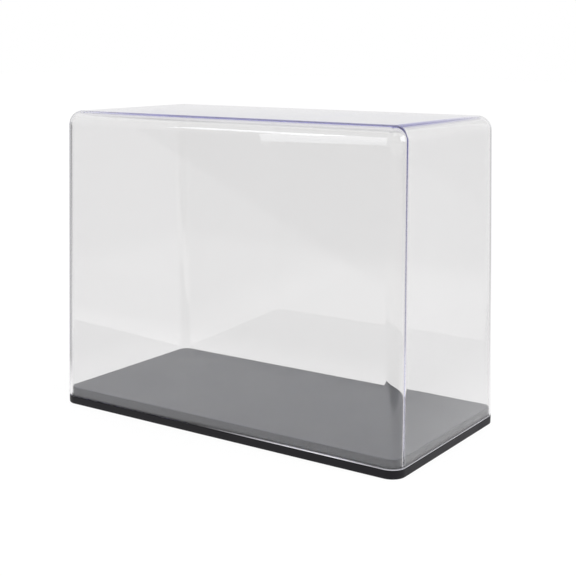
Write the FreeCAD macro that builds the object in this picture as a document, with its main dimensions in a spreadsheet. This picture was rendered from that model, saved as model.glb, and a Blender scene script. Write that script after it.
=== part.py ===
import FreeCAD, Part

import math
import os

import Sketcher

# Display case: a clear hood stands on the ledge of a low moulded base, round a raised display floor.
# Lengths are millimetres and angles are degrees.
# The origin is the centre of the underside. +X runs along the long side, -Y is the front, +Z is up.

DIMENSIONS = (
    ("case_width", "240", "outside length of the rim and of the hood's foot"),
    ("case_depth", "120", "outside depth of the rim and of the hood's foot"),
    ("corner_radius", "8.5", "rounding of the upright corners and of the hood's top edges"),
    ("rim_height", "5", "height of the ledge that carries the hood"),
    ("rim_foot_radius", "0.8", "rounding of the rim's lower outer edge"),
    ("rim_ledge_radius", "0.5", "rounding of the rim's upper outer edge"),
    ("plinth_rise", "5.4", "height of the display floor above the ledge"),
    ("plinth_edge_radius", "0.6", "rounding of the display floor's edge"),
    ("plinth_gap", "0.5", "clearance between the top of the plinth and the hood"),
    ("base_wall", "2", "wall of the base moulding"),
    ("rib_thickness", "1.4", "thickness of the stiffening ribs under the base"),
    ("rib_floor_gap", "1", "height of the ribs' lower edges above the table"),
    ("cross_rib_count", "3", "number of ribs that run across the depth"),
    ("cover_height", "177", "height of the hood from the ledge to its top"),
    ("cover_wall", "2", "wall of the hood"),
    ("cover_inner_radius", "5.9", "rounding of the hood's edges on its inside"),
    ("cover_draft", "1.5", "lean of the hood's sides, which lets it leave its mould"),
)

# The hood's sides lean inwards, so the plinth clears them by plinth_gap at its top.
PLINTH_INSET = (
    "(dims.cover_wall / cos(dims.cover_draft * 1deg)"
    " + dims.plinth_rise * tan(dims.cover_draft * 1deg) + dims.plinth_gap)"
)
FLOOR_HEIGHT = "(dims.rim_height + dims.plinth_rise)"
RIB_SPACING = "(dims.case_width / (dims.cross_rib_count + 1))"

UP = FreeCAD.Vector(0, 0, 1)
DOWN = FreeCAD.Vector(0, 0, -1)
TOLERANCE = 1e-4


def add_sheet(doc):
    sheet = doc.addObject("Spreadsheet::Sheet", "dims")
    for row, (alias, value, meaning) in enumerate(DIMENSIONS, start=1):
        sheet.set(f"A{row}", meaning)
        sheet.set(f"B{row}", value)
        sheet.setAlias(f"B{row}", alias)
    doc.recompute()


def origin_feature(body, role):
    return next(feature for feature in body.Origin.OriginFeatures if feature.Role == role)


def level_sketch(body, name, height="0", shift="0"):
    """Start a sketch on a level plane, raised by height and moved along X by shift."""
    sketch = body.newObject("Sketcher::SketchObject", name)
    sketch.AttachmentSupport = [(origin_feature(body, "XY_Plane"), "")]
    sketch.MapMode = "FlatFace"
    sketch.setExpression(".AttachmentOffset.Base.x", shift)
    sketch.setExpression(".AttachmentOffset.Base.z", height)
    return sketch


def bind(sketch, name, expression, kind, *geometry):
    """Add a constraint that is driven by an expression."""
    value = sketch.evalExpression(expression)
    index = sketch.addConstraint(Sketcher.Constraint(kind, *geometry, value))
    sketch.renameConstraint(index, name)
    sketch.setExpression(f"Constraints.{name}", expression)


def square_sides(sketch):
    """Hold the four lines of a rectangle, the first four pieces of a sketch, level and upright."""
    for side, kind in enumerate(("Horizontal", "Vertical", "Horizontal", "Vertical")):
        sketch.addConstraint(Sketcher.Constraint(kind, side))


def draw_rectangle(sketch, width, depth):
    """Draw a rectangle round the sketch's origin."""
    x = sketch.evalExpression(width) / 2
    y = sketch.evalExpression(depth) / 2
    corners = [FreeCAD.Vector(*point) for point in ((-x, -y), (x, -y), (x, y), (-x, y))]
    for start, end in zip(corners, corners[1:] + corners[:1]):
        sketch.addGeometry(Part.LineSegment(start, end))
    for side in range(4):
        sketch.addConstraint(Sketcher.Constraint("Coincident", side, 2, (side + 1) % 4, 1))
    square_sides(sketch)
    sketch.addConstraint(Sketcher.Constraint("Symmetric", 0, 1, 2, 1, -1, 1))
    bind(sketch, "width", width, "Distance", 0)
    bind(sketch, "depth", depth, "Distance", 1)


def draw_case_outline(sketch, inset="0"):
    """Draw the case's outline with its rounded corners, drawn in all round by an inset."""
    width = f"dims.case_width - 2 * {inset}"
    depth = f"dims.case_depth - 2 * {inset}"
    radius = f"dims.corner_radius - {inset}"
    r = sketch.evalExpression(radius)
    x = sketch.evalExpression(width) / 2 - r
    y = sketch.evalExpression(depth) / 2 - r
    # Corner centres, counter-clockwise from the one at the right end of the front line.
    centres = [FreeCAD.Vector(*point) for point in ((x, -y), (x, y), (-x, y), (-x, -y))]
    outward = [FreeCAD.Vector(*point) for point in ((0, -r), (r, 0), (0, r), (-r, 0))]
    for side in range(4):
        start = centres[side - 1] + outward[side]
        end = centres[side] + outward[side]
        sketch.addGeometry(Part.LineSegment(start, end))
    for corner, centre in enumerate(centres):
        first_angle = (corner - 1) * math.pi / 2
        circle = Part.Circle(centre, UP, r)
        sketch.addGeometry(Part.ArcOfCircle(circle, first_angle, first_angle + math.pi / 2))
    for side in range(4):
        arc = side + 4
        sketch.addConstraint(Sketcher.Constraint("Tangent", side, 2, arc, 1))
        sketch.addConstraint(Sketcher.Constraint("Tangent", arc, 2, (side + 1) % 4, 1))
    square_sides(sketch)
    for arc in (5, 6, 7):
        sketch.addConstraint(Sketcher.Constraint("Equal", 4, arc))
    sketch.addConstraint(Sketcher.Constraint("Symmetric", 4, 3, 6, 3, -1, 1))
    bind(sketch, "radius", radius, "Radius", 4)
    bind(sketch, "width", width, "DistanceX", 3, 1, 1, 1)
    bind(sketch, "depth", depth, "DistanceY", 0, 1, 2, 1)


def add_feature(body, kind, name, **sizes):
    """Add a feature whose sizes are bound to expressions."""
    feature = body.newObject(f"PartDesign::{kind}", name)
    for size, expression in sizes.items():
        feature.setExpression(size, expression)
    return feature


def pad(body, name, sketch, length):
    feature = add_feature(body, "Pad", name, Length=length)
    feature.Profile = sketch
    body.Document.recompute()
    return feature


def hollow_from_below(body, name, sketch, depth):
    """Cut a pocket upwards, and make sure that it takes material away."""
    volume_before = body.Shape.Volume
    feature = add_feature(body, "Pocket", name, Length=depth)
    feature.Profile = sketch
    feature.Reversed = True
    body.Document.recompute()
    if feature.Shape.Volume > volume_before - TOLERANCE:
        raise RuntimeError(f"{name} cuts nothing")


def round_edges(body, name, edges, radius):
    base = body.Tip
    feature = add_feature(body, "Fillet", name, Radius=radius)
    feature.Base = (base, edges)
    body.Document.recompute()
    return feature


def flat_faces(shape, wanted):
    """Names of the flat faces whose outward direction passes a test."""
    return [
        f"Face{number}"
        for number, face in enumerate(shape.Faces, start=1)
        if face.Surface.TypeId == "Part::GeomPlane" and wanted(face.normalAt(0, 0))
    ]


def faces_down(direction):
    return direction.getAngle(DOWN) < TOLERANCE


def faces_sideways(direction):
    return abs(direction.dot(UP)) < TOLERANCE


def outline_of_level(shape, height):
    """Names of the edges round the level face at a height."""
    level = next(
        face
        for face in shape.Faces
        if face.BoundBox.ZLength < TOLERANCE and abs(face.CenterOfMass.z - height) < TOLERANCE
    )
    outline = level.OuterWire.Edges
    return [
        f"Edge{number}"
        for number, edge in enumerate(shape.Edges, start=1)
        if any(edge.isSame(other) for other in outline)
    ]


def round_level(body, name, height, radius):
    """Round the outer edge of the level face at a height."""
    edges = outline_of_level(body.Tip.Shape, body.evalExpression(height))
    round_edges(body, name, edges, radius)


def make_base(doc):
    """Black tray: rim with a ledge, raised display floor, and a hollow, ribbed underside."""
    body = doc.addObject("PartDesign::Body", "base")

    outline = level_sketch(body, "rim_outline")
    draw_case_outline(outline)
    pad(body, "rim", outline, "dims.rim_height")

    outline = level_sketch(body, "plinth_outline", height="dims.rim_height")
    draw_case_outline(outline, PLINTH_INSET)
    pad(body, "plinth", outline, "dims.plinth_rise")

    round_level(body, "rim_foot_round", "0", "dims.rim_foot_radius")
    round_level(body, "rim_ledge_round", "dims.rim_height", "dims.rim_ledge_radius")
    round_level(body, "plinth_round", FLOOR_HEIGHT, "dims.plinth_edge_radius")

    # The hollow steps in under the plinth, so that ledge, plinth and floor all have the base's wall.
    outline = level_sketch(body, "rim_hollow_outline")
    draw_case_outline(outline, "dims.base_wall")
    hollow_from_below(body, "rim_hollow", outline, "dims.rim_height - dims.base_wall")

    outline = level_sketch(body, "plinth_hollow_outline")
    draw_case_outline(outline, f"({PLINTH_INSET} + dims.base_wall)")
    hollow_from_below(body, "plinth_hollow", outline, f"{FLOOR_HEIGHT} - dims.base_wall")

    # A rib stops short of the table and steps in with the hollow. Its lower step runs half-way into the
    # rim and the ledge, and its upper step half-way into the plinth and the floor.
    rib_steps = (
        ("low", "dims.base_wall / 2", "dims.rim_height - dims.base_wall / 2"),
        ("high", f"({PLINTH_INSET} + dims.base_wall / 2)", f"{FLOOR_HEIGHT} - dims.base_wall / 2"),
    )
    first_rib = f"-{RIB_SPACING} * (dims.cross_rib_count - 1) / 2"
    cross_ribs = []
    for step, inset, top in rib_steps:
        outline = level_sketch(body, f"{step}_long_rib_outline", height="dims.rib_floor_gap")
        draw_rectangle(outline, f"dims.case_width - 2 * {inset}", "dims.rib_thickness")
        pad(body, f"{step}_long_rib", outline, f"{top} - dims.rib_floor_gap")

        outline = level_sketch(
            body, f"{step}_cross_rib_outline", height="dims.rib_floor_gap", shift=first_rib
        )
        draw_rectangle(outline, "dims.rib_thickness", f"dims.case_depth - 2 * {inset}")
        cross_ribs.append(pad(body, f"{step}_cross_rib", outline, f"{top} - dims.rib_floor_gap"))
    row = add_feature(
        body,
        "LinearPattern",
        "cross_ribs",
        Length=f"{RIB_SPACING} * (dims.cross_rib_count - 1)",
        Occurrences="dims.cross_rib_count",
    )
    row.Originals = cross_ribs
    row.Direction = (origin_feature(body, "X_Axis"), [""])
    body.Tip = row
    doc.recompute()
    return body


def hood_edges(shape, block, outside):
    """Names of the hood's edges above its foot: those on the outside of the block, or the others."""
    skin = block.Shape.Shells[0]
    names = []
    for number, edge in enumerate(shape.Edges, start=1):
        on_skin = skin.distToShape(Part.Vertex(edge.CenterOfMass))[0] < TOLERANCE
        if edge.BoundBox.ZMax > TOLERANCE and on_skin == outside:
            names.append(f"Edge{number}")
    return names


def make_cover(doc):
    """Clear hood: sides that lean inwards, an even wall, and one rounding on every edge of a side."""
    body = doc.addObject("PartDesign::Body", "clear_cover")
    body.setExpression(".Placement.Base.z", "dims.rim_height")

    outline = level_sketch(body, "foot_outline")
    draw_rectangle(outline, "dims.case_width", "dims.case_depth")
    block = pad(body, "block", outline, "dims.cover_height")

    lean = add_feature(body, "Draft", "leaning_sides", Angle="dims.cover_draft")
    lean.Base = (block, flat_faces(block.Shape, faces_sideways))
    lean.NeutralPlane = (block, flat_faces(block.Shape, faces_down))
    doc.recompute()

    shell = add_feature(body, "Thickness", "even_wall", Value="dims.cover_wall")
    shell.Base = (lean, flat_faces(lean.Shape, faces_down))
    shell.Reversed = True
    doc.recompute()

    # The inside is rounded first, so that the outer rounding never breaks through a sharp inner edge.
    # All edges but those round the foot are rounded alike, so a ball fills each top corner.
    inner_edges = hood_edges(shell.Shape, lean, outside=False)
    rounded = round_edges(body, "rounded_inside", inner_edges, "dims.cover_inner_radius")
    outer_edges = hood_edges(rounded.Shape, lean, outside=True)
    round_edges(body, "rounded_outside", outer_edges, "dims.corner_radius")
    return body


def check(doc, parts):
    doc.recompute()
    for item in doc.Objects:
        if "Invalid" in item.State or "Error" in item.State:
            raise RuntimeError(f"{item.Label} failed: {item.State}")
    for part in parts:
        if part.Shape.isNull() or not part.Shape.isValid() or len(part.Shape.Solids) != 1:
            raise RuntimeError(f"{part.Label} is not one sound solid")


def main():
    doc = FreeCAD.newDocument("display_case")
    add_sheet(doc)
    parts = [make_base(doc), make_cover(doc)]
    check(doc, parts)
    os.makedirs("parts", exist_ok=True)
    for part in parts:
        part.Shape.exportStep(f"parts/{part.Label}.step")
        box = part.Shape.BoundBox
        print(f"{part.Label}: {part.Shape.Volume:.0f} mm3, z {box.ZMin:.2f} to {box.ZMax:.2f}")


main()
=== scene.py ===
# Looks of a display case: a clear moulded hood that stands on a black moulded base.
import math
from collections import namedtuple

import bmesh
import bpy
from mathutils import Euler, Matrix, Vector


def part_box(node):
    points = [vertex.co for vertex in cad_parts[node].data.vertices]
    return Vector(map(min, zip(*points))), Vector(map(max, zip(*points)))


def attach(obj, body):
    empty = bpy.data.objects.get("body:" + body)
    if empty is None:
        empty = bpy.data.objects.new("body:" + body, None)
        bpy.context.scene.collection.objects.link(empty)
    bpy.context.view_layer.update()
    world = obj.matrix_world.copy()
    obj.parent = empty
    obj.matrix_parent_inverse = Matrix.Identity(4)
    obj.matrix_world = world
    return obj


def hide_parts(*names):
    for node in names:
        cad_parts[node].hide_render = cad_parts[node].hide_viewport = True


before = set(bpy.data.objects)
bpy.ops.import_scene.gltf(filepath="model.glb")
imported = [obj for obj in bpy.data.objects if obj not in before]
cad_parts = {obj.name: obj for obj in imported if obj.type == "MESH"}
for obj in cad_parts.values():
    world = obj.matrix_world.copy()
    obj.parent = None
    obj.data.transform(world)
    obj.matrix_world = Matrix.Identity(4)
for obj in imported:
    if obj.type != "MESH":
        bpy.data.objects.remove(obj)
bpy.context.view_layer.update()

MM = 0.001
UP = Vector((0, 0, 1))
FRONT = Vector((0, -1, 0))
RIGHT = Vector((1, 0, 0))
BACK = Vector((0, 1, 0))
LEFT = Vector((-1, 0, 0))

# The corners of a box seen from above, in turn, and the way that the side after each corner faces
CORNERS = ((-1, -1), (1, -1), (1, 1), (-1, 1))
SIDES = (FRONT, RIGHT, BACK, LEFT)

# Sizes that the boxes of the two nodes don't give, in metres
CORNER_RADIUS = 8.5 * MM
COVER_WALL = 2.0 * MM
FOOT_THINNING = 0.15 * MM
INNER_RADIUS = 5.9 * MM
COVER_DRAFT = math.radians(1.5)
COVER_FOOT_ROUND = 0.3 * MM
FROST_HEIGHT = 0.55 * MM
SEAT_GAP = 0.05 * MM
PLINTH_GAP = 0.5 * MM
PLINTH_ROUND = 0.6 * MM
LEDGE_ROUND = 0.5 * MM
RIM_FOOT_ROUND = 0.8 * MM
MOULD_ROUND = 0.25 * MM
BASE_WALL = 2.0 * MM
RIB_THICKNESS = 1.4 * MM
RIB_FLOOR_GAP = 1.0 * MM
CROSS_RIBS = 3

# Places that the frame gives
base_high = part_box("base")[1]
cover_low, cover_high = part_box("clear_cover")
HALF_WIDTH = base_high.x
HALF_DEPTH = base_high.y
RIM_TOP = cover_low.z
FLOOR_TOP = base_high.z
COVER_FOOT = cover_low.z + SEAT_GAP
COVER_TOP = cover_high.z
PLINTH_INSET = (COVER_WALL / math.cos(COVER_DRAFT)
                + (FLOOR_TOP - RIM_TOP) * math.tan(COVER_DRAFT) + PLINTH_GAP)

# How finely the meshes are divided, how near points are merged, and from which angle an edge is sharp
LONG_STEPS = 24
SHORT_STEPS = 12
CORNER_STEPS = 20
ROUND_STEPS = 20
WALL_STEPS = 16
SMALL_ROUND_STEPS = 6
MERGE_DISTANCE = 2e-7
SHARP_ANGLE = math.radians(40)
EXACT_NORMAL = "exact_normal"

# Colours
RIM_BLACK = (0.0055, 0.0048, 0.007)
PLINTH_GREY = (0.051, 0.055, 0.070)
CLEAR_TINT = (0.946, 0.943, 0.932, 1)
DEEP_TINT = (0.065, 0.03, 0.66, 1)
FROST = (0.90, 0.89, 0.94)
LAMP_WHITE = (0.94, 0.97, 1.0)
WHITE = (1, 1, 1, 1)

# Plastics: how clear plastic bends light and how deep its tint is, and the bumps of the moulded grain
POLYSTYRENE_IOR = 1.59
TINT_DENSITY = 9.3
GRAIN_HEIGHT = 0.03 * MM
GRAIN_STRENGTH = 0.35

# Noises: how often each repeats in a metre and its detail, and the range that most of a noise lies in
CLOUD_NOISE = (60, 4)
GRAIN_NOISE = (2600, 2)
POLISH_NOISE = (30, 3)
FROST_NOISE = (300, 3)
NOISE_MIDDLE = (0.3, 0.7)

# The levels that noises are spread over
CLOUD_LEVELS = (0.93, 1.07)
CLEAR_ROUGHNESS = (0.0, 0.03)
FROST_LEVELS = (0.9, 1.1)
FROST_ROUGHNESS = (0.7, 0.9)

# Where along X the hood's foot is frosted, and its painted light: the frost is painted whiter to the right,
# and darker again at the corner
FOOT_LIGHT_RISE = (-20 * MM, 75 * MM)
FOOT_LIGHT_FALL = (75 * MM, 110 * MM)
FOOT_LIGHT_LOW = 0.05
FOOT_LIGHT_AT_CORNER = 0.5

# Soft edges of the studio: the way each faces, where along that way it starts and ends, in metres on the
# floor and as a share of a direction in the dome, and the levels before and beyond it
SoftEdge = namedtuple("SoftEdge", "way start end before beyond")

# The dome, and what stands in its place in mirrors: paper at the back and a darker room in front
DOME = SoftEdge(UP, start=0, end=1, before=1.0, beyond=1.25)
ROOM = SoftEdge(Vector((0.406, -0.914, 0)), start=-0.3, end=0.3, before=0.85, beyond=0.4)

# The floor, how much of a shadow it keeps and how much it glows by itself
FLOOR_HALF_SIZE = 6.0
FLOOR_SHADOW = 0.1
FLOOR_GLOW = 1 - FLOOR_SHADOW

# The floor in mirrors: where its white paper ends, and a dark flat on the left, beyond both of its edges
PAPER_ENDS = (
    SoftEdge(FRONT, start=0.195, end=0.325, before=1.0, beyond=0.22),
    SoftEdge(Vector((0.707, -0.707, 0)), start=0.23, end=0.30, before=1.0, beyond=0),
    SoftEdge(RIGHT, start=0.12, end=0.22, before=1.0, beyond=0.68),
    SoftEdge(BACK, start=0.2, end=0.7, before=1.0, beyond=0.70),
)
FLAT_EDGES = (
    SoftEdge(LEFT, start=0.15, end=0.24, before=0, beyond=1),
    SoftEdge(Vector((-0.8, -0.6, 0)), start=0, end=0.1, before=0, beyond=1),
)
FLAT_LEVEL = 0.55

# The floor as the clear walls show it when they lead its light along inside themselves
LED_END = SoftEdge(BACK, start=0.17, end=0.26, before=FLOOR_GLOW, beyond=0.52)

# Lamps stand this far from the hood's top, and light may be mirrored or bent this often
LAMP_DISTANCE = 2.0
LIGHT_BOUNCES = 200

# The camera, fitted to the edges in the photograph; its lens and sensor are in millimetres
CAMERA_PLACE = (0.388155, -0.551204, 0.221656)
CAMERA_AZIMUTH = math.radians(34.441)
CAMERA_PITCH = math.radians(12.067)
CAMERA_ROLL = math.radians(0.076)
CAMERA_LENS = 71.537
CAMERA_SENSOR = 36


# Meshes

def turn_between(start, end, share):
    """The direction a share of the way from one unit vector to another, along the arc between them."""
    angle = start.angle(end)
    return (start * math.sin((1 - share) * angle) + end * math.sin(share * angle)) / math.sin(angle)


def columns_round(rise):
    """Upright lines round a rounded box: where each stands on its core, from -1 to 1, and its normal.

    The normals rise by an angle, which is the lean of the box's sides.
    """
    level = math.cos(rise)
    faces = [side * level + UP * math.sin(rise) for side in SIDES]
    columns = []
    for number, face in enumerate(faces):
        after = (number + 1) % len(SIDES)
        start = Vector(CORNERS[number])
        end = Vector(CORNERS[after])
        steps = SHORT_STEPS if number % 2 else LONG_STEPS
        for step in range(steps):
            columns.append((start.lerp(end, step / steps), face))
        for step in range(CORNER_STEPS):
            columns.append((end, turn_between(face, faces[after], step / CORNER_STEPS)))
    return columns


def grid(half_x, half_y, height):
    """The points of a flat grid whose edge points meet the ends of the upright lines."""
    return [[Vector((half_x * (2 * i / LONG_STEPS - 1), half_y * (2 * j / SHORT_STEPS - 1), height))
             for j in range(SHORT_STEPS + 1)] for i in range(LONG_STEPS + 1)]


def loft(name, lines, start_grid, end_grid):
    """A closed mesh from section lines set side by side round the piece, with a flat grid at each end.

    A line is a list of (point, normal) pairs. It starts on top of the piece, where the start grid faces up.
    """
    bm = bmesh.new()
    exact = bm.verts.layers.float_vector.new(EXACT_NORMAL)

    def vertex(point, normal):
        made = bm.verts.new(point)
        made[exact] = normal
        return made

    rings = [[vertex(point, normal) for point, normal in line] for line in lines]
    for ring, beside in zip(rings, rings[1:] + rings[:1]):
        for row in range(len(ring) - 1):
            bm.faces.new((ring[row], ring[row + 1], beside[row + 1], beside[row]))
    start_normal = lines[0][0][1]
    end_normal = lines[0][-1][1]
    for points, normal in ((start_grid, start_normal), (end_grid, end_normal)):
        knots = [[vertex(point, normal) for point in file] for file in points]
        for file, beside in zip(knots, knots[1:]):
            for j in range(SHORT_STEPS):
                corners = (file[j], beside[j], beside[j + 1], file[j + 1])
                bm.faces.new(corners if normal.z > 0 else corners[::-1])
    bmesh.ops.remove_doubles(bm, verts=bm.verts, dist=MERGE_DISTANCE)
    mesh = bpy.data.meshes.new(name)
    bm.to_mesh(mesh)
    bm.free()
    mesh.shade_smooth()
    return mesh


def use_exact_normals(mesh):
    """Shades the mesh with the normals that its vertices were given, so that its rounds bend light truly."""
    normals = [entry.vector.normalized() for entry in mesh.attributes[EXACT_NORMAL].data]
    mesh.normals_split_custom_set_from_vertices(normals)
    mesh.attributes.remove(mesh.attributes[EXACT_NORMAL])


def add_piece(name, mesh):
    """An object with that mesh, put in the scene."""
    piece = bpy.data.objects.new(name, mesh)
    bpy.context.scene.collection.objects.link(piece)
    return piece


# The clear hood

def hood_core(depth, radius, height):
    """Half sizes of the box that a ball of that radius is rolled round to sweep a skin of the hood.

    The skin lies at that depth inside the hood's outside.
    """
    inset = (height - RIM_TOP) * math.tan(COVER_DRAFT) + (depth + radius) / math.cos(COVER_DRAFT)
    return HALF_WIDTH - inset, HALF_DEPTH - inset


def hood_line(spot, normal):
    """One section of the hood's wall, from the top outside, down, round the foot and up again inside."""
    foot_centre = COVER_FOOT + COVER_FOOT_ROUND

    def point(depth, radius, height, offset):
        half_x, half_y = hood_core(depth, radius, height)
        return Vector((spot.x * half_x, spot.y * half_y, height)) + offset

    def skin(depth, radius, sense):
        """The rows of one skin from its top edge down to the foot. Sense is 1 outside and -1 inside."""
        core_top = COVER_TOP - depth - radius
        ball = radius - sense * COVER_FOOT_ROUND
        core_foot = foot_centre - ball * normal.z
        rows = []
        for step in range(ROUND_STEPS):
            facing = turn_between(UP, normal, step / ROUND_STEPS)
            rows.append((point(depth, radius, core_top, facing * radius), facing * sense))
        for step in range(WALL_STEPS):
            height = core_top + (core_foot - core_top) * step / WALL_STEPS
            rows.append((point(depth, radius, height, normal * radius), normal * sense))
        frost_top = COVER_FOOT + FROST_HEIGHT - normal.z * radius
        rows.append((point(depth, radius, frost_top, normal * radius), normal * sense))
        for step in range(SMALL_ROUND_STEPS + 1):
            facing = turn_between(normal * sense, -UP, step / SMALL_ROUND_STEPS)
            offset = normal * ball + facing * COVER_FOOT_ROUND
            rows.append((point(depth, radius, core_foot, offset), facing))
        return rows

    def thin(place, facing):
        """A row of the inside, moved out by the wall's thinning.

        The wall isn't thinned at its top and at the corners, and most at the foot, halfway between them.
        """
        top = COVER_TOP - COVER_WALL - INNER_RADIUS
        share = max(top - place.z, 0) / (top - COVER_FOOT)
        along = 0 if abs(spot.x) < abs(spot.y) else 1
        across = spot[along]
        depth = FOOT_THINNING * math.sqrt(share)
        out = Vector((normal.x, normal.y, 0)).normalized()
        half_side = hood_core(COVER_WALL, INNER_RADIUS, place.z)[along]
        slope = Vector((0, 0, 0))
        slope[along] = -4 * depth * across * (1 - across ** 2) / half_side
        moved = place + out * depth * (1 - across ** 2) ** 2
        return moved, (facing + slope).normalized()

    outside = skin(0, CORNER_RADIUS, 1)
    inside = [thin(*row) for row in skin(COVER_WALL, INNER_RADIUS, -1)]
    return outside + inside[::-1]


def make_hood():
    """The hood, frosted on its foot to the right of where the frost starts, but not at the back."""
    lines = [hood_line(spot, normal) for spot, normal in columns_round(COVER_DRAFT)]
    tops = []
    for depth, radius in ((0, CORNER_RADIUS), (COVER_WALL, INNER_RADIUS)):
        top = COVER_TOP - depth
        tops.append(grid(*hood_core(depth, radius, top - radius), top))
    mesh = loft("clear_hood", lines, *tops)
    use_exact_normals(mesh)
    mesh.materials.append(clear_plastic())
    mesh.materials.append(frosted_plastic())
    # Frost goes on the foot from where its painted light starts, to the right, but not at the back
    for face in mesh.polygons:
        at_foot = face.center.z < COVER_FOOT + FROST_HEIGHT
        before_back = face.center.y < HALF_DEPTH - CORNER_RADIUS
        frosted = at_foot and before_back and face.center.x > FOOT_LIGHT_RISE[0]
        face.material_index = 1 if frosted else 0
    return add_piece("clear_hood", mesh)


# The black base

def rounded_section(corners):
    """A section line through (outward, height, radius) corners, rounded, as (place, facing) rows.

    It keeps the solid on its left, so that each row faces to the right of the way it goes.
    """
    rows = []
    for number, (outward, height, radius) in enumerate(corners):
        here = Vector((outward, height))
        ways = []
        if number:
            ways.append((here - Vector(corners[number - 1][:2])).normalized())
        if number < len(corners) - 1:
            ways.append((Vector(corners[number + 1][:2]) - here).normalized())
        facings = [Vector((way.y, -way.x)) for way in ways]
        if len(ways) == 1:
            rows.append((here, facings[0]))
            continue
        convex = ways[0].cross(ways[1]) > 0
        side = 1 if convex else -1
        centre = here - side * radius * (facings[0] + facings[1])
        for step in range(SMALL_ROUND_STEPS + 1):
            facing = turn_between(facings[0], facings[1], step / SMALL_ROUND_STEPS)
            rows.append((centre + side * radius * facing, facing))
    return rows


def base_section():
    """The base's section, from the flat top of the hollow under it, round the rim, to the flat floor."""
    flat_edge = -CORNER_RADIUS
    hollow_side = -(PLINTH_INSET + BASE_WALL)
    hollow_top = FLOOR_TOP - BASE_WALL
    step_height = RIM_TOP - BASE_WALL
    return rounded_section((
        (flat_edge, hollow_top, 0),
        (hollow_side, hollow_top, MOULD_ROUND),
        (hollow_side, step_height, MOULD_ROUND),
        (-BASE_WALL, step_height, MOULD_ROUND),
        (-BASE_WALL, 0, MOULD_ROUND),
        (0, 0, RIM_FOOT_ROUND),
        (0, RIM_TOP, LEDGE_ROUND),
        (-PLINTH_INSET, RIM_TOP, MOULD_ROUND),
        (-PLINTH_INSET, FLOOR_TOP, PLINTH_ROUND),
        (flat_edge, FLOOR_TOP, 0),
    ))


def make_ribs():
    """The stiffening ribs of the underside as (low, high) boxes, in two steps that follow the hollow."""
    overlap = BASE_WALL / 2
    levels = (
        (RIB_FLOOR_GAP, RIM_TOP - overlap, BASE_WALL - overlap),
        (RIM_TOP - BASE_WALL, FLOOR_TOP - overlap, PLINTH_INSET + BASE_WALL - overlap),
    )
    ribs = []
    half_rib = RIB_THICKNESS / 2
    spacing = 2 * HALF_WIDTH / (CROSS_RIBS + 1)
    for low, high, inset in levels:
        half_long = HALF_WIDTH - inset
        half_cross = HALF_DEPTH - inset
        ribs.append((Vector((-half_long, -half_rib, low)), Vector((half_long, half_rib, high))))
        for cross in range(CROSS_RIBS):
            x = spacing * (cross + 1) - HALF_WIDTH
            ribs.append((Vector((x - half_rib, -half_cross, low)), Vector((x + half_rib, half_cross, high))))
    return ribs


def box_mesh(name, low, high):
    """A closed box between two of its corners."""
    bm = bmesh.new()
    place = Matrix.Translation((low + high) / 2) @ Matrix.Diagonal((*(high - low), 1))
    bmesh.ops.create_cube(bm, size=1, matrix=place)
    mesh = bpy.data.meshes.new(name)
    bm.to_mesh(mesh)
    bm.free()
    return mesh


def join_boxes(piece, boxes):
    """Unites (low, high) boxes with a piece, so that it stays one closed skin."""
    for low, high in boxes:
        rib = add_piece("rib", box_mesh("rib", low, high))
        union = piece.modifiers.new("rib", "BOOLEAN")
        union.operation = "UNION"
        union.solver = "EXACT"
        union.object = rib
        graph = bpy.context.evaluated_depsgraph_get()
        joined = bpy.data.meshes.new_from_object(piece.evaluated_get(graph))
        piece.modifiers.clear()
        piece.data = joined
        bpy.data.objects.remove(rib)
    bm = bmesh.new()
    bm.from_mesh(piece.data)
    bmesh.ops.remove_doubles(bm, verts=bm.verts, dist=MERGE_DISTANCE)
    bm.to_mesh(piece.data)
    bm.free()


def on_plinth(place):
    """Whether a place on the base's skin is on the plinth's outside, and not in the hollow under it."""
    past_core = Vector((
        max(abs(place.x) - HALF_WIDTH + CORNER_RADIUS, 0),
        max(abs(place.y) - HALF_DEPTH + CORNER_RADIUS, 0),
    ))
    inset = CORNER_RADIUS - past_core.length
    above_hollow = place.z > FLOOR_TOP - BASE_WALL / 2
    beside_hollow = inset < PLINTH_INSET + BASE_WALL / 2
    return place.z > RIM_TOP + MOULD_ROUND and (above_hollow or beside_hollow)


def make_base():
    """The base, black on its rim and underside, with a smoother grey on the plinth."""
    section = base_section()
    core_x = HALF_WIDTH - CORNER_RADIUS
    core_y = HALF_DEPTH - CORNER_RADIUS
    lines = []
    for spot, normal in columns_round(0):
        line = []
        for place, facing in section:
            core = Vector((spot.x * core_x, spot.y * core_y, place.y))
            point = core + normal * (CORNER_RADIUS + place.x)
            line.append((point, normal * facing.x + UP * facing.y))
        lines.append(line[::-1])
    underside = grid(core_x, core_y, FLOOR_TOP - BASE_WALL)
    floor = grid(core_x, core_y, FLOOR_TOP)
    mesh = loft("moulded_base", lines, floor, underside)
    mesh.attributes.remove(mesh.attributes[EXACT_NORMAL])
    piece = add_piece("moulded_base", mesh)
    join_boxes(piece, make_ribs())
    piece.data.name = "moulded_base"
    rim = moulded_plastic("black_plastic", RIM_BLACK, painted_top_light=1, specular=0.21, roughness=(0.44, 0.56))
    # The plinth's top is painted lighter, as painted light from above
    plinth = moulded_plastic("grained_plastic", PLINTH_GREY, painted_top_light=1.7, specular=0.8, roughness=(0.30, 0.38))
    piece.data.materials.clear()
    piece.data.materials.append(rim)
    piece.data.materials.append(plinth)
    for face in piece.data.polygons:
        face.material_index = 1 if on_plinth(face.center) else 0
    piece.data.shade_smooth()
    piece.data.set_sharp_from_angle(angle=SHARP_ANGLE)
    even = piece.modifiers.new("even_shading", "WEIGHTED_NORMAL")
    even.keep_sharp = True
    return piece


# Shader nodes; a value may be a socket or a number

def feed(links, value, socket):
    """Gives a socket its value."""
    if isinstance(value, bpy.types.NodeSocket):
        links.new(value, socket)
    else:
        socket.default_value = value


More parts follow.
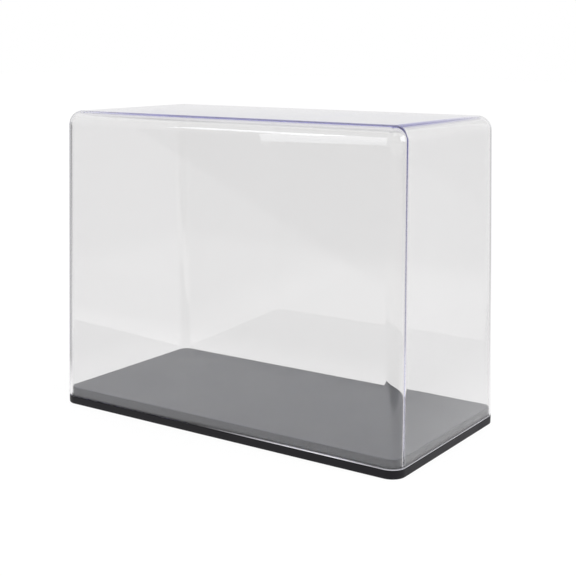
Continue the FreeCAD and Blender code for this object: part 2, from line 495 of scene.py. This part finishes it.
def math_node(nodes, links, operation, first, second):
    """One operation on two values."""
    node = nodes.new("ShaderNodeMath")
    node.operation = operation
    feed(links, first, node.inputs[0])
    feed(links, second, node.inputs[1])
    return node.outputs["Value"]


def mix_value(nodes, links, factor, first, second):
    """A number that is the first value where factor is 0 and the second where it is 1."""
    node = nodes.new("ShaderNodeMix")
    feed(links, first, node.inputs["A"])
    feed(links, second, node.inputs["B"])
    links.new(factor, node.inputs["Factor"])
    return node.outputs["Result"]


def map_range(nodes, links, source, span, levels, interpolation):
    """Maps a span of a number to a pair of levels, and keeps to the nearest level outside the span."""
    node = nodes.new("ShaderNodeMapRange")
    node.interpolation_type = interpolation
    node.inputs["From Min"].default_value = span[0]
    node.inputs["From Max"].default_value = span[1]
    node.inputs["To Min"].default_value = levels[0]
    node.inputs["To Max"].default_value = levels[1]
    links.new(source, node.inputs["Value"])
    return node.outputs["Result"]


def coordinate(nodes, links, axis):
    """One of the piece's own coordinates: X, Y or Z."""
    place = nodes.new("ShaderNodeTexCoord")
    axes = nodes.new("ShaderNodeSeparateXYZ")
    links.new(place.outputs["Object"], axes.inputs["Vector"])
    return axes.outputs[axis]


def noise(nodes, links, scale, detail):
    """A noise over the piece's own coordinates, whose scale is in repeats a metre."""
    place = nodes.new("ShaderNodeTexCoord")
    texture = nodes.new("ShaderNodeTexNoise")
    texture.inputs["Scale"].default_value = scale
    texture.inputs["Detail"].default_value = detail
    links.new(place.outputs["Object"], texture.inputs["Vector"])
    return texture.outputs["Fac"]


def spread_noise(nodes, links, kind, levels):
    """A noise of that (scale, detail) kind, whose middle is spread over a pair of levels."""
    return map_range(nodes, links, noise(nodes, links, *kind), NOISE_MIDDLE, levels, "LINEAR")


def scaled_colour(nodes, links, colour, level):
    """A colour times a level that varies over the piece."""
    node = nodes.new("ShaderNodeVectorMath")
    node.operation = "SCALE"
    node.inputs["Vector"].default_value = colour
    links.new(level, node.inputs["Scale"])
    return node.outputs["Vector"]


# Materials

def new_material(name):
    """A material with its nodes and links."""
    material = bpy.data.materials.new(name)
    material.use_nodes = True
    return material, material.node_tree.nodes, material.node_tree.links


def moulded_plastic(name, colour, painted_top_light, specular, roughness):
    """Moulded plastic with a fine grain.

    Painted top light is how many times lighter the top of the plinth is painted, as painted light from
    above, and roughness is a pair of levels.
    """
    material, nodes, links = new_material(name)
    shader = nodes["Principled BSDF"]
    shader.inputs["Specular IOR Level"].default_value = specular
    height = coordinate(nodes, links, "Z")
    # Painted light: the top of the plinth is painted lighter, as if lit from above
    painted_top = map_range(nodes, links, height, (FLOOR_TOP - PLINTH_ROUND, FLOOR_TOP), (1, painted_top_light), "SMOOTHSTEP")
    cloud = spread_noise(nodes, links, CLOUD_NOISE, CLOUD_LEVELS)
    level = math_node(nodes, links, "MULTIPLY", cloud, painted_top)
    links.new(scaled_colour(nodes, links, colour, level), shader.inputs["Base Color"])
    links.new(spread_noise(nodes, links, CLOUD_NOISE, roughness), shader.inputs["Roughness"])
    bump = nodes.new("ShaderNodeBump")
    bump.inputs["Strength"].default_value = GRAIN_STRENGTH
    bump.inputs["Distance"].default_value = GRAIN_HEIGHT
    links.new(noise(nodes, links, *GRAIN_NOISE), bump.inputs["Height"])
    links.new(bump.outputs["Normal"], shader.inputs["Normal"])
    return material


def clear_plastic():
    """Clear moulded polystyrene, faintly violet through its length, and polished."""
    material, nodes, links = new_material("clear_plastic")
    shader = nodes["Principled BSDF"]
    shader.inputs["Base Color"].default_value = CLEAR_TINT
    shader.inputs["Transmission Weight"].default_value = 1
    shader.inputs["IOR"].default_value = POLYSTYRENE_IOR
    links.new(spread_noise(nodes, links, POLISH_NOISE, CLEAR_ROUGHNESS), shader.inputs["Roughness"])
    tint = nodes.new("ShaderNodeVolumeAbsorption")
    tint.inputs["Color"].default_value = DEEP_TINT
    tint.inputs["Density"].default_value = TINT_DENSITY
    links.new(tint.outputs["Volume"], nodes["Material Output"].inputs["Volume"])
    return material


def frosted_plastic():
    """The frosted part of the hood's foot, with painted light: it is painted whiter to the right and darker
    again at its corner.
    """
    material, nodes, links = new_material("frosted_plastic")
    shader = nodes["Principled BSDF"]
    shader.inputs["IOR"].default_value = POLYSTYRENE_IOR
    along = coordinate(nodes, links, "X")
    # Painted light along the foot: whiter to the right, darker again at the corner
    painted_rise = map_range(nodes, links, along, FOOT_LIGHT_RISE, (FOOT_LIGHT_LOW, 1), "SMOOTHSTEP")
    painted_fall = map_range(nodes, links, along, FOOT_LIGHT_FALL, (1, FOOT_LIGHT_AT_CORNER), "SMOOTHSTEP")
    painted_light = math_node(nodes, links, "MULTIPLY", painted_rise, painted_fall)
    grain = spread_noise(nodes, links, FROST_NOISE, FROST_LEVELS)
    level = math_node(nodes, links, "MULTIPLY", grain, painted_light)
    links.new(scaled_colour(nodes, links, FROST, level), shader.inputs["Base Color"])
    links.new(spread_noise(nodes, links, FROST_NOISE, FROST_ROUGHNESS), shader.inputs["Roughness"])
    return material


# Stage

def once_mirrored(nodes, links):
    """1 for light that was mirrored just once on its way to the eye, and 0 for any other."""
    path = nodes.new("ShaderNodeLightPath")
    return math_node(nodes, links, "COMPARE", path.outputs["Glossy Depth"], 1)


def led_by_walls(nodes, links):
    """1 for light that was mirrored more than once, as inside the clear walls, and 0 for any other."""
    more_than_once = 1.5
    path = nodes.new("ShaderNodeLightPath")
    return math_node(nodes, links, "GREATER_THAN", path.outputs["Glossy Depth"], more_than_once)


def across_edge(nodes, links, place, edge):
    """The level of the studio at a place before, in or beyond a soft edge."""
    along = nodes.new("ShaderNodeVectorMath")
    along.operation = "DOT_PRODUCT"
    along.inputs[1].default_value = edge.way
    links.new(place, along.inputs[0])
    span = (edge.start, edge.end)
    levels = (edge.before, edge.beyond)
    return map_range(nodes, links, along.outputs["Value"], span, levels, "SMOOTHSTEP")


def make_world():
    """A white dome, lightest overhead. In mirrors it is paper at the back and a darker room in front."""
    world = bpy.data.worlds.new("studio")
    bpy.context.scene.world = world
    world.use_nodes = True
    nodes = world.node_tree.nodes
    links = world.node_tree.links
    place = nodes.new("ShaderNodeTexCoord").outputs["Generated"]
    dome = across_edge(nodes, links, place, DOME)
    room = across_edge(nodes, links, place, ROOM)
    strength = mix_value(nodes, links, once_mirrored(nodes, links), dome, room)
    background = nodes["Background"]
    background.inputs["Color"].default_value = WHITE
    links.new(strength, background.inputs["Strength"])


def floor_in_mirrors(nodes, links, place):
    """How bright the floor is in mirrors: white paper with soft ends, and a dark flat on the left."""
    level = 1.0
    for edge in PAPER_ENDS:
        level = math_node(nodes, links, "MINIMUM", level, across_edge(nodes, links, place, edge))
    on_flat = 1.0
    for edge in FLAT_EDGES:
        on_flat = math_node(nodes, links, "MULTIPLY", on_flat, across_edge(nodes, links, place, edge))
    flat = mix_value(nodes, links, on_flat, 1.0, FLAT_LEVEL)
    return math_node(nodes, links, "MINIMUM", level, flat)


def white_floor():
    """White that keeps a faint shadow and is clear from below, with a level of its own in mirrors.

    Light that the clear walls lead along inside themselves finds it dimmer behind the case.
    """
    material, nodes, links = new_material("floor")
    shader = nodes["Principled BSDF"]
    shader.inputs["Roughness"].default_value = 1
    shader.inputs["Specular IOR Level"].default_value = 0
    place = nodes.new("ShaderNodeTexCoord").outputs["Object"]
    mirrored = once_mirrored(nodes, links)
    shade = mix_value(nodes, links, mirrored, FLOOR_SHADOW, 0)
    colour = nodes.new("ShaderNodeCombineColor")
    for channel in colour.inputs:
        links.new(shade, channel)
    links.new(colour.outputs["Color"], shader.inputs["Base Color"])
    led = across_edge(nodes, links, place, LED_END)
    seen = mix_value(nodes, links, led_by_walls(nodes, links), FLOOR_GLOW, led)
    glow = mix_value(nodes, links, mirrored, seen, floor_in_mirrors(nodes, links, place))
    shader.inputs["Emission Color"].default_value = WHITE
    links.new(glow, shader.inputs["Emission Strength"])
    geometry = nodes.new("ShaderNodeNewGeometry")
    clear = nodes.new("ShaderNodeBsdfTransparent")
    one_sided = nodes.new("ShaderNodeMixShader")
    links.new(geometry.outputs["Backfacing"], one_sided.inputs["Fac"])
    links.new(shader.outputs["BSDF"], one_sided.inputs[1])
    links.new(clear.outputs["BSDF"], one_sided.inputs[2])
    links.new(one_sided.outputs["Shader"], nodes["Material Output"].inputs["Surface"])
    return material


def make_floor():
    """The floor under the case, which is not attached to the case."""
    mesh = bpy.data.meshes.new("floor")
    corners = [(x * FLOOR_HALF_SIZE, y * FLOOR_HALF_SIZE, 0) for x, y in CORNERS]
    mesh.from_pydata(corners, [], [(0, 1, 2, 3)])
    mesh.materials.append(white_floor())
    floor = add_piece("floor", mesh)


def make_softbox(name, azimuth, rise, width, height, brightness):
    """A soft lamp that lights the case and shows in mirrors, but not to the camera or through the hood.

    Where its middle stands and how wide and high it looks from the hood's top are in degrees. Brightness
    sets how bright its face is, whatever its size.
    """
    azimuth = math.radians(azimuth)
    rise = math.radians(rise)
    light = bpy.data.lights.new(name, "AREA")
    light.shape = "RECTANGLE"
    light.size = 2 * LAMP_DISTANCE * math.tan(math.radians(width / 2))
    light.size_y = 2 * LAMP_DISTANCE * math.tan(math.radians(height / 2))
    light.energy = brightness * math.pi * light.size * light.size_y
    light.color = LAMP_WHITE
    lamp = bpy.data.objects.new(name, light)
    bpy.context.scene.collection.objects.link(lamp)
    way = Vector((math.sin(azimuth) * math.cos(rise), -math.cos(azimuth) * math.cos(rise), math.sin(rise)))
    target = Vector((0, 0, COVER_TOP))
    lamp.location = target + way * LAMP_DISTANCE
    lamp.rotation_euler = way.to_track_quat("Z", "Y").to_euler()
    lamp.visible_camera = False
    lamp.visible_transmission = False


def make_camera():
    """The camera, turned by its azimuth, pitch and roll from looking level at the case's front."""
    data = bpy.data.cameras.new("camera")
    data.sensor_width = CAMERA_SENSOR
    data.lens = CAMERA_LENS
    camera = bpy.data.objects.new("camera", data)
    turn = Euler((math.pi / 2 - CAMERA_PITCH, 0, CAMERA_AZIMUTH)).to_matrix()
    turn = turn @ Matrix.Rotation(CAMERA_ROLL, 3, "Z")
    camera.matrix_world = Matrix.Translation(CAMERA_PLACE) @ turn.to_4x4()
    bpy.context.scene.collection.objects.link(camera)
    bpy.context.scene.camera = camera


def set_up_render():
    """Standard colours, and light that can be led along inside the clear walls to their far edges."""
    scene = bpy.context.scene
    scene.view_settings.view_transform = "Standard"
    scene.cycles.max_bounces = LIGHT_BOUNCES
    scene.cycles.transmission_bounces = LIGHT_BOUNCES
    scene.cycles.glossy_bounces = LIGHT_BOUNCES


base = make_base()
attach(base, "base")
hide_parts("base")

hood = make_hood()
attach(hood, "cover")
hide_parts("clear_cover")

make_world()
make_floor()
make_softbox("key_softbox", azimuth=-37, rise=20, width=10, height=9, brightness=4.2)
make_softbox("fill_softbox", azimuth=-28.9, rise=11.9, width=10.8, height=29, brightness=2.2)
make_softbox("side_softbox", azimuth=88, rise=21, width=32, height=32, brightness=4.4)
make_softbox("top_softbox", azimuth=32, rise=52, width=14, height=20, brightness=2.2)
make_camera()
set_up_render()
